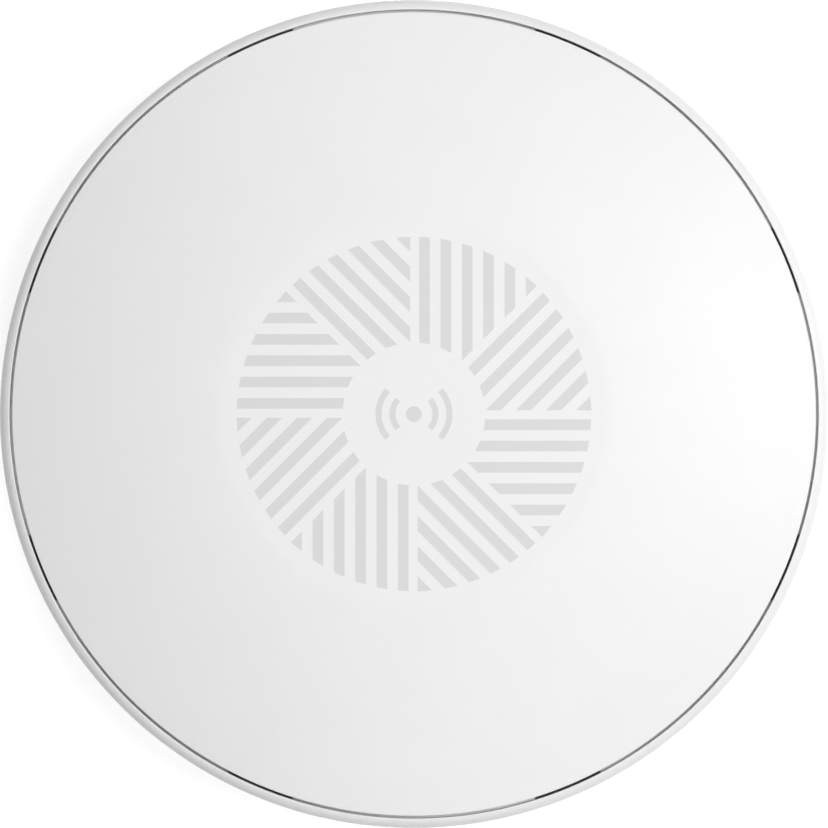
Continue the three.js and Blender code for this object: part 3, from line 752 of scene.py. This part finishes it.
def housing_outline():
    side_centre = (SIDE_RADIUS, SIDE_TOP)
    outer_reach = (RADIUS - SIDE_RADIUS, SIDE_TOP - REAR_Z)
    inner_reach = (outer_reach[0] - WALL, outer_reach[1] - WALL)
    rim_centre = (RADIUS - RIM_FILLET, RIM_TOP - RIM_FILLET)
    lip_angle = acos((LIP_RADIUS - rim_centre[0]) / RIM_FILLET)
    rim = arc(rim_centre, (RIM_FILLET, RIM_FILLET), 0, lip_angle, RIM_STEPS)
    lip_top = rim[-1][1]
    floor_top = FLOOR_Z + WALL
    return rounded([
        (0, FLOOR_Z, 0),
        (RECESS_RADIUS, FLOOR_Z, 0.4 * MM),
        (RECESS_RADIUS, REAR_Z, 0.5 * MM),
        *arc(side_centre, outer_reach, -pi / 2, 0, SIDE_STEPS[0]),
        *rim[:-1],
        (LIP_RADIUS, lip_top, 0.12 * MM),
        (LIP_RADIUS, TRENCH_Z, 0),
        (TRENCH_RADIUS, TRENCH_Z, 0),
        (TRENCH_RADIUS, LEDGE_Z, 0),
        (LEDGE_RADIUS, LEDGE_Z, EDGE),
        (LEDGE_RADIUS, LEDGE_Z - LEDGE_THICKNESS, EDGE),
        *arc(side_centre, inner_reach, 0, -pi / 2, SIDE_STEPS[1]),
        (RECESS_RADIUS + WALL, REAR_Z + WALL, 0.4 * MM),
        (RECESS_RADIUS + WALL, floor_top, 0.6 * MM),
        (0, floor_top, 0),
    ])


def vent_cutters():
    past_lip, past_ledge = VENT_CLEARANCE
    cutters = []
    for k in range(VENT_COUNT):
        centre = (k + 0.5) * 2 * pi / VENT_COUNT
        start, end = centre - VENT_ANGLE / 2, centre + VENT_ANGLE / 2
        points = ring_sector(VENT_INNER_RADIUS, LIP_RADIUS + past_lip, start, end)
        cutters.append(prism(points, LEDGE_Z - LEDGE_THICKNESS - PAST, LEDGE_Z + past_ledge))
    return cutters


def on_circle(radius, angle):
    return (radius * cos(angle), radius * sin(angle))


def stud(angle):
    """A T-shaped stud under the floor, which locks into a keyhole of the bracket."""
    shaft, head, low, high = 2.2 * MM, 4.3 * MM, 1.1 * MM, 2.6 * MM
    outline = rounded([
        (0, low, 0), (head, low, 0.4 * MM), (head, high, 0.3 * MM), (shaft, high, 0.3 * MM),
        (shaft, FLOOR_Z + WALL / 2, 0), (0, FLOOR_Z + WALL / 2, 0),
    ])
    return lathe(outline, SMALL_STEPS, on_circle(STUD_CIRCLE, angle))


SCREWS = [f"board_screw_{k}" for k in range(1, 5)]
PINS = ["heat_sink_pin_1", "heat_sink_pin_2"]


def make_housing():
    inside_floor = FLOOR_Z + WALL / 2
    wall = Vector((BAY_WALL, BAY_WALL, BAY_WALL))
    bay_base = Vector((BAY_LOW.x - BAY_WALL, BAY_LOW.y - BAY_WALL, inside_floor))
    bay_box = block(bay_base, BAY_HIGH + wall, edge=0.4 * MM, corner=2.6 * MM)
    reset = middle("reset_plunger").xy
    guide = rod(RESET_GUIDE_RADIUS, inside_floor, RESET_GUIDE_TOP, reset, bevel=0.3 * MM)
    bosses = [rod(BOSS_RADIUS, inside_floor, BOSS_TOP, middle(s).xy, bevel=0.3 * MM) for s in SCREWS]
    added = merged(bay_box, guide, *bosses, *[stud(angle) for angle in STUD_ANGLES])
    shell = joined(lathe(housing_outline()), added)

    bay = block(BAY_LOW - Vector((0, 0, PAST)), BAY_HIGH, edge=0.3 * MM, corner=1.2 * MM)
    reset_hole = lathe([
        (0, FLOOR_Z - PAST), (RESET_HOLE_MOUTH, FLOOR_Z - 0.01 * MM),
        (RESET_HOLE_RADIUS, FLOOR_Z + 0.5 * MM),
        (RESET_HOLE_RADIUS, RESET_GUIDE_TOP + PAST), (0, RESET_GUIDE_TOP + PAST),
    ], SMALL_STEPS, reset)
    drilled_to = BOSS_TOP + PAST
    screw_holes = [rod(SCREW_HOLE_RADIUS, SCREW_HOLE_Z, drilled_to, middle(s).xy) for s in SCREWS]
    shell = cut(shell, merged(bay, reset_hole, *screw_holes, *vent_cutters()))
    window = block(SOCKET_WINDOW_LOW, SOCKET_WINDOW_HIGH)
    shell = cut(shell, window)
    piece("rear_housing_moulding", shell, "housing", "housing_plastic", "rear_housing")


def make_label():
    """A blank rating label: a film with a printed border and empty ruled fields."""
    low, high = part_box("rear_label")
    film = block(low, high, edge=0.05 * MM, corner=1.5 * MM)
    piece("rear_label_film", film, "label", "label", "rear_label")
    margin, line, fields = 1 * MM, 0.25 * MM, 4
    below, above = low.z - 0.01 * MM, low.z + 0.05 * MM

    def inset(by, z0, z1):
        return block((low.x + by, low.y + by, z0), (high.x - by, high.y - by, z1), corner=1 * MM)

    inner = inset(margin + line, below - PAST, above + PAST)
    border = cut(inset(margin, below, above), inner)
    rules = []
    for k in range(1, fields):
        y = low.y + margin + k * (high.y - low.y - 2 * margin) / fields
        rules.append(block((low.x + 2 * margin, y, below), (high.x - 2 * margin, y + line, above)))
    piece("rear_label_print", merged(border, *rules), "label_ink", "label")


# ------ bracket


def keyhole(locked):
    """Points round a slot on the stud circle, from the angle where it locks to its round entry hole."""
    slot, entry = KEYHOLE_SLOT_RADIUS, KEYHOLE_ENTRY_RADIUS
    inner, outer = STUD_CIRCLE - slot, STUD_CIRCLE + slot
    opened = locked + KEYHOLE_TURN

    def meeting(radius):
        """Where the slot's side meets the entry hole: its angle, and its bearing from the hole's centre."""
        half = acos((STUD_CIRCLE**2 + radius**2 - entry**2) / (2 * STUD_CIRCLE * radius))
        x, y = on_circle(radius, -half)
        return opened - half, atan2(y, x - STUD_CIRCLE)

    inner_end, inner_bearing = meeting(inner)
    outer_end, outer_bearing = meeting(outer)
    start, end = opened + inner_bearing + 2 * pi, opened + outer_bearing
    points = along(on_circle(STUD_CIRCLE, locked), (slot, slot), locked, locked - pi)
    points += along((0, 0), (inner, inner), locked, inner_end)[1:]
    points += along(on_circle(STUD_CIRCLE, opened), (entry, entry), start, end, 2 * HOLE_STEPS)[1:]
    return points + along((0, 0), (outer, outer), outer_end, locked)[1:-1]


def make_bracket():
    top, outer = BRACKET_HIGH.z, BRACKET_HIGH.x
    under = top - BRACKET_PLATE
    hub = CABLE_HOLE_RADIUS + HUB_WALL
    ring = lathe(rounded([
        (CABLE_HOLE_RADIUS, 0, 0.3 * MM), (hub, 0, 0.3 * MM), (hub, under, 0.5 * MM),
        (outer - BRACKET_PLATE, under, 0.5 * MM), (outer - BRACKET_PLATE, 0, 0.3 * MM), (outer, 0, 0.3 * MM),
        (outer, top, 0.6 * MM), (CABLE_HOLE_RADIUS, top, 0.5 * MM),
    ]), closed=True)
    inside_plate = top - BRACKET_PLATE / 2
    pads = [rod(PAD_RADIUS, 0, inside_plate, centre, bevel=0.25 * MM) for centre in SCREW_PADS]
    rib_low = (CABLE_HOLE_RADIUS + HUB_WALL / 2, -RIB_HALF_THICKNESS, RIB_Z)
    rib_high = (outer - BRACKET_PLATE / 2, RIB_HALF_THICKNESS, inside_plate)
    ribs = [turned(block(rib_low, rib_high, edge=EDGE), angle) for angle in RIB_ANGLES]
    plate = joined(ring, merged(*pads, *ribs))

    below, above = -PAST, top + PAST
    hole = [(0, below), (PAD_HOLE_RADIUS, below), (PAD_HOLE_RADIUS, top - COUNTERSINK_DEPTH),
            (COUNTERSINK_RADIUS, top + 0.05 * MM), (COUNTERSINK_RADIUS, above), (0, above)]
    holes = [lathe(hole, SMALL_STEPS, centre) for centre in SCREW_PADS]
    keyholes = [prism(keyhole(angle), below, above) for angle in STUD_ANGLES]
    plate = cut(plate, merged(*holes, *keyholes))
    name = "mounting_bracket"
    piece(f"{name}_moulding", plate, "bracket", "bracket_plastic", name, body="bracket")


# ------ circuit board


def make_board():
    hole_radius, ring_outer = 1.8 * MM, 3.3 * MM
    ring_inner = hole_radius + 0.15 * MM
    drilled = [middle(node).xy for node in SCREWS + PINS]
    panel = rod(BOARD_HIGH.x, BOARD_LOW.z, BOARD_HIGH.z, steps=ROUND_STEPS, bevel=0.1 * MM)
    drills = [rod(hole_radius, BOARD_LOW.z - PAST, BOARD_HIGH.z + PAST, centre) for centre in drilled]
    panel = cut(panel, merged(*drills))
    piece("main_board_panel", panel, "board", "circuit_board", "main_board")
    foil = 0.04 * MM
    rings = []
    for centre in drilled:
        for low in (BOARD_LOW.z - foil, BOARD_HIGH.z):
            rings.append(annulus(ring_inner, ring_outer, low, low + foil, centre))
    piece("main_board_ground_rings", merged(*rings), "solder", "circuit_board")


def clear_of(x, y, margin, taken):
    """Whether a place on the board is that far from all the boxes that are taken."""
    return all(x < low.x - margin or x > high.x + margin or y < low.y - margin or y > high.y + margin
               for low, high in taken)


def make_passives():
    """Rows of small resistors and capacitors on the board's front, wherever nothing else stands."""
    draw = random.Random(11)
    above_board = [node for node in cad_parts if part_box(node)[1].z > BOARD_HIGH.z]
    taken = [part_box(node) for node in above_board if node not in ("front_cover", "rear_housing")]
    length, width, height, cap = 1.6 * MM, 0.8 * MM, 0.5 * MM, 0.3 * MM
    pitch, clearance = 4.6 * MM, 1.6 * MM
    reach = BOARD_HIGH.x - 4 * MM
    across = int(BOARD_HIGH.x / pitch)
    base = BOARD_HIGH.z
    bodies = {"chip": [], "ceramic": []}
    caps = []
    for column in range(-across, across + 1):
        for row in range(-across, across + 1):
            x, y = column * pitch, row * pitch
            kind = draw.choice(("chip", "ceramic", "ceramic", None))
            quarter = draw.choice((0, pi / 2))
            if kind is None or hypot(x, y) > reach or not clear_of(x, y, clearance, taken):
                continue
            low, high = (-length / 2 + cap, -width / 2, base), (length / 2 - cap, width / 2, base + height)
            parts = [block(low, high, edge=0.05 * MM, steps=2)]
            for end in (-length / 2, length / 2 - cap):
                low, high = (end, -width / 2, base), (end + cap, width / 2, base + height + 0.02 * MM)
                parts.append(block(low, high, edge=0.06 * MM, steps=2))
            for part in parts:
                moved(turned(part, quarter), x, y)
            bodies[kind].append(parts[0])
            caps += parts[1:]
    piece("board_resistors", merged(*bodies["chip"]), "chip", "chip_epoxy")
    piece("board_capacitors", merged(*bodies["ceramic"]), "ceramic", "circuit_board")
    piece("board_terminations", merged(*caps), "solder", "tinplate")


# ------ screws and push pins


def cross(reach, half, low, high):
    """A plus-shaped prism for a driver's recess."""
    quarter = [Vector((reach, -half)), Vector((reach, half)), Vector((half, half))]
    return prism([Matrix.Rotation(k * pi / 2, 2) @ p for k in range(4) for p in quarter], low, high)


def make_screw(node):
    low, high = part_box(node)
    centre, head = middle(node).xy, (high.x - low.x) / 2
    seat, shaft, pitch, depth = high.z - 1.8 * MM, 1.25 * MM, 0.6 * MM, 0.22 * MM
    turns = int((seat - low.z - 2.4 * MM) / pitch)
    start = low.z + shaft
    thread = []
    for k in range(turns):
        thread += [(shaft - depth, start + k * pitch), (shaft, start + (k + 0.5) * pitch)]
    outline = [(0, low.z), *thread, (shaft - depth, start + turns * pitch), (shaft - depth, seat)]
    outline += rounded([(head, seat, 0.15 * MM), (head, high.z - 0.7 * MM, 0.4 * MM),
                        (head - 0.9 * MM, high.z, 0.7 * MM), (0, high.z, 0)])
    recess = cross(1.5 * MM, 0.35 * MM, high.z - 1.1 * MM, high.z + PAST)
    body = cut(lathe(outline, SMALL_STEPS, centre), moved(recess, *centre))
    piece(f"{node}_turned", body, "zinc", "screw_steel", node)


def make_pin(node):
    """A push pin whose split, barbed tip has been pressed through the board."""
    low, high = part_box(node)
    centre, head, shaft, barb = middle(node).xy, 2.5 * MM, 1.4 * MM, 2.2 * MM
    head_top, barb_low = 16.2 * MM, 23.1 * MM
    body = lathe(rounded([
        (0, low.z, 0), (head, low.z, 0.4 * MM), (head, head_top, 0.2 * MM), (shaft, head_top, 0.15 * MM),
        (shaft, barb_low, 0.1 * MM), (barb, barb_low, 0.1 * MM), (shaft, high.z, 0.3 * MM), (0, high.z, 0),
    ]), SMALL_STEPS, centre)
    slit_low = (centre.x - 0.3 * MM, centre.y - barb - PAST, barb_low - 4 * MM)
    slit_high = (centre.x + 0.3 * MM, centre.y + barb + PAST, high.z + PAST)
    body = cut(body, block(slit_low, slit_high))
    piece(f"{node}_moulding", body, "black", "black_plastic", node)


# ------ chips, pads, heat sink and shields


def make_chip(node, faces_up):
    """A moulded package with a dimple by its first pin."""
    low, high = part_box(node)
    face = high.z if faces_up else low.z
    corner = 1.4 * MM
    dimple = rod(0.5 * MM, face - 0.1 * MM, face + 0.1 * MM, (low.x + corner, high.y - corner))
    body = cut(block(low, high, edge=0.12 * MM), dimple)
    piece(f"{node}_package", body, "chip", "chip_epoxy", node)


def make_pad(node):
    low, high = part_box(node)
    piece(f"{node}_sheet", block(low, high, edge=0.15 * MM), "pad", "thermal_pad", node)


def make_shield(node):
    """A drawn can with rows of small holes in its lid."""
    low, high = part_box(node)
    sheet = Vector((0.4, 0.4, 0.4)) * MM
    can = block(low, high, edge=0.35 * MM, corner=0.9 * MM)
    room = block(low + Vector((sheet.x, sheet.y, -PAST)), high - sheet, edge=0.15 * MM, corner=0.5 * MM)
    can = cut(can, room)
    pitch, centre = 3.1 * MM, middle(node)
    holes = []
    for column in range(-3, 4):
        for row in range(-2, 3):
            at = (centre.x + column * pitch, centre.y + row * pitch)
            holes.append(rod(0.5 * MM, high.z - PAST, high.z + PAST, at, HOLE_STEPS))
    can = cut(can, merged(*holes))
    piece(f"{node}_can", can, "tin", "tinplate", node)


# ------ power parts


def make_lan_transformer():
    """A moulded block between two rows of formed leads."""
    low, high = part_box("lan_transformer")
    reach, lead, foot = 1.2 * MM, 0.5 * MM, 0.25 * MM
    body = block((low.x + reach, low.y, low.z), (high.x - reach, high.y, high.z - foot), edge=0.3 * MM)
    piece("lan_transformer_body", body, "chip", "chip_epoxy", "lan_transformer")
    count = 12
    pitch = (high.y - low.y - 2 * lead) / count
    leads = []
    for k in range(count):
        y = low.y + lead + (k + 0.25) * pitch
        for tip, root in ((low.x, low.x + reach), (high.x, high.x - reach)):
            bend = (tip + root) / 2
            sole = (min(tip, bend), y, high.z - foot), (max(tip, bend), y + lead, high.z)
            shin = ((min(bend, root), y, high.z - 6 * foot),
                    (max(bend, root) + 0.05 * MM, y + lead, high.z - foot / 2))
            leads += [block(*corners, edge=0.04 * MM, steps=2) for corners in (sole, shin)]
    piece("lan_transformer_leads", merged(*leads), "solder", "tinplate")


def make_poe_transformer():
    low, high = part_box("poe_transformer")
    centre = middle("poe_transformer")
    half_core = 3.5 * MM
    split = (low.z + high.z) / 2
    base_low = high.z - 2.5 * MM
    halves = []
    for bottom, top in ((low.z, split - 0.03 * MM), (split + 0.03 * MM, high.z - 0.4 * MM)):
        halves.append(block((low.x, centre.y - half_core, bottom), (high.x, centre.y + half_core, top),
                            edge=0.3 * MM))
    piece("poe_transformer_core", merged(*halves), "ferrite", "ferrite", "poe_transformer")
    radius, low_flange = 6.2 * MM, high.z - 9 * MM
    winding = lathe(rounded([
        (0, low_flange, 0), (radius, low_flange, 0.3 * MM), (radius, low_flange + 0.8 * MM, 0.2 * MM),
        (radius - 0.5 * MM, low_flange + 1 * MM, 0.2 * MM),
        (radius - 0.3 * MM, low_flange + 3.2 * MM, 2 * MM),
        (radius - 0.5 * MM, base_low, 0.2 * MM), (0, base_low, 0),
    ]), SMALL_STEPS, centre.xy)
    piece("poe_transformer_winding", winding, "tape", "ferrite")
    half_base = 6.5 * MM
    base = block((centre.x - half_base, low.y, base_low), (centre.x + half_base, high.y, high.z),
                 edge=0.3 * MM)
    piece("poe_transformer_base", base, "black", "black_plastic")


def make_capacitor(node):
    """An aluminium can in a shrunk sleeve that leaves its scored top bare."""
    low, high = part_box(node)
    centre, radius = middle(node).xy, (high.x - low.x) / 2
    bare = radius - 0.9 * MM
    sleeve = lathe(rounded([
        (bare, low.z + 0.05 * MM, 0.05 * MM), (radius, low.z, 0.6 * MM),
        (radius, high.z - 2.6 * MM, 0.5 * MM), (radius - 0.4 * MM, high.z - 2.1 * MM, 0.4 * MM),
        (radius, high.z - 1.6 * MM, 0.5 * MM),
        (radius, high.z, 0.2 * MM), (bare, high.z, 0),
    ]), SMALL_STEPS, centre, closed=True)
    piece(f"{node}_sleeve", sleeve, "sleeve", "black_plastic", node)
    can = rod(bare - 0.05 * MM, low.z + 0.2 * MM, high.z, centre, bevel=0.2 * MM)
    score = moved(cross(2.2 * MM, 0.12 * MM, low.z, low.z + 0.35 * MM), *centre)
    piece(f"{node}_can", cut(can, score), "aluminium", "heat_sink_aluminium")


# ------ reset button and status light


def make_reset():
    """The switch on the board, and the plunger that presses it."""
    make_refined("reset_switch_body", "reset_switch", 0.15 * MM, "tin", "tinplate")
    low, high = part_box("reset_plunger")
    plunger = rod((high.x - low.x) / 2, low.z, high.z, middle("reset_plunger").xy, bevel=0.3 * MM)
    piece("reset_plunger_moulding", plunger, "black", "black_plastic", "reset_plunger", body="reset_button")


def make_status_light():
    low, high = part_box("status_led")
    body = block(low, high - Vector((0, 0, 0.1 * MM)), edge=0.12 * MM)
    well_floor, lens_radius = high.z - 0.4 * MM, 1.1 * MM
    well = rod(1.15 * MM, well_floor, high.z + PAST)
    body = cut(body, well)
    piece("status_led_package", body, "led", "led_resin", "status_led")
    dome = along((0, high.z - 0.38 * MM), (lens_radius, 0.36 * MM), 0, pi / 2, 8)
    lens = [(0, well_floor), (lens_radius, well_floor), *dome[1:-1], (0, high.z - 0.02 * MM)]
    piece("status_led_lens", lathe(lens, SMALL_STEPS), "phosphor", "led_resin")

    low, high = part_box("light_guide")
    funnel_low, flange = BOARD_HIGH.z + 1.4 * MM, high.z - 1.2 * MM
    funnel = lathe(rounded([
        (0, funnel_low, 0), (3 * MM, funnel_low, 0.2 * MM), (4 * MM, funnel_low + 2.5 * MM, 3 * MM),
        (8.5 * MM, flange, 0.3 * MM), (8.5 * MM, high.z, 0.3 * MM), (0, high.z, 0),
    ], steps=10), 2 * SMALL_STEPS)
    legs = [rod(0.9 * MM, low.z, high.z - 0.6 * MM, on_circle(7 * MM, a), HOLE_STEPS) for a in turn_steps(3)]
    guide = joined(funnel, merged(*legs))
    piece("light_guide_moulding", guide, "clear", "clear_acrylic", "light_guide")


# ------ antennas and their leads

COAX_RADIUS = 0.6 * MM
COAX_Z = 24 * MM
# One east and one south lead. The other two repeat them half a turn on.
COAX_ROUTES = [
    [(57.4, 0), (54, -1.5), (52, -7), (49, -12), (45, -13), (43, -9.7)],
    [(0, -57.4), (2, -53), (9, -46), (17, -40), (21.5, -33), (22, -25.7)],
]
ANTENNA_ANGLES = [0, -pi / 2, pi, pi / 2]


def make_antennas():
    """Stamped strips with an L-shaped slot, each turned from the first one's place."""
    slot = [(60.5, -9), (61.5, -9), (61.5, 7), (66.5, 7), (66.5, 8), (60.5, 8)]
    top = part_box("antenna_1")[1].z
    for number, angle in enumerate(ANTENNA_ANGLES, 1):
        cutter = prism([(x * MM, y * MM) for x, y in slot], top - PAST, top + PAST)
        strip = cut(refined("antenna_1", 0.12 * MM), cutter)
        node = f"antenna_{number}"
        piece(f"{node}_stamping", turned(strip, angle), "tin", "tinplate", node)


def smooth_route(points, steps=10):
    """A centripetal Catmull-Rom curve through points."""
    ends = [2 * points[0] - points[1], *points, 2 * points[-1] - points[-2]]
    curve = [points[0]]
    for before, start, end, after in zip(ends, ends[1:], ends[2:], ends[3:]):
        s0, s1, s2 = [(b - a).length ** 0.5 for a, b in ((before, start), (start, end), (end, after))]
        leave = (start - before) / s0 - (end - before) / (s0 + s1) + (end - start) / s1
        arrive = (end - start) / s1 - (after - start) / (s1 + s2) + (after - end) / s2
        for k in range(1, steps + 1):
            t = k / steps
            curve.append((2 * t**3 - 3 * t**2 + 1) * start + (3 * t**2 - 2 * t**3) * end
                         + s1 * ((t**3 - 2 * t**2 + t) * leave + (t**3 - t**2) * arrive))
    return curve


def make_coax():
    for half in (0, 1):
        for k, route in enumerate(COAX_ROUTES):
            number = 2 * half + k + 1
            points = [Vector((x * MM, y * MM, COAX_Z)) for x, y in route]
            lead = turned(tube(smooth_route(points), COAX_RADIUS), half * pi)
            piece(f"coax_lead_{number}_jacket", lead, "coax", "coax_jacket", f"coax_lead_{number}")
            make_coax_plug(f"coax_plug_{number}")


def make_coax_plug(node):
    """A snap-down plug: a crimped ring round a domed cap."""
    low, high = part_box(node)
    radius = (high.x - low.x) / 2
    plug = lathe(rounded([
        (0, low.z, 0), (radius, low.z, 0.1 * MM), (radius, low.z + 0.5 * MM, 0.1 * MM),
        (radius - 0.2 * MM, low.z + 0.7 * MM, 0.1 * MM), (radius - 0.1 * MM, high.z, 0.3 * MM),
        (0, high.z, 0),
    ]), SMALL_STEPS, middle(node).xy)
    piece(f"{node}_shell", plug, "gold", "contact_gold", node)


# ------ pieces that keep their CAD shape

# Each piece's name, CAD node, rounding of its edges, paint and material slot.
REFINED_PIECES = [
    ("heat_sink_extrusion", "heat_sink", 0.2 * MM, "aluminium", "heat_sink_aluminium"),
    ("ethernet_jack_can", "ethernet_jack_shell", 0.12 * MM, "tin", "tinplate"),
    ("ethernet_jack_moulding", "ethernet_jack_insert", 0.15 * MM, "black", "black_plastic"),
    ("ethernet_jack_springs", "ethernet_jack_contacts", 0.08 * MM, "gold", "contact_gold"),
    ("power_inductor_drum", "power_inductor", 0.4 * MM, "ferrite", "ferrite"),
]


def make_refined(name, node, edge, paint, slot):
    piece(name, refined(node, edge), paint, slot, node)


# ------ the scene

make_camera()
make_lights()
make_floor()
make_cover()
make_hatch()
make_symbol()
make_housing()
make_label()
make_bracket()
make_board()
make_passives()
for screw in SCREWS:
    make_screw(screw)
for pin in PINS:
    make_pin(pin)
for rear_chip in ("processor_chip", "memory_chip"):
    make_chip(rear_chip, faces_up=False)
for pad in ("processor_thermal_pad", "memory_thermal_pad"):
    make_pad(pad)
for band in ("low_band", "high_band"):
    make_chip(f"radio_chip_{band}", faces_up=True)
    make_shield(f"radio_shield_{band}")
for refined_piece in REFINED_PIECES:
    make_refined(*refined_piece)
make_lan_transformer()
make_poe_transformer()
for capacitor in ("bulk_capacitor_1", "bulk_capacitor_2"):
    make_capacitor(capacitor)
make_reset()
make_status_light()
make_antennas()
make_coax()
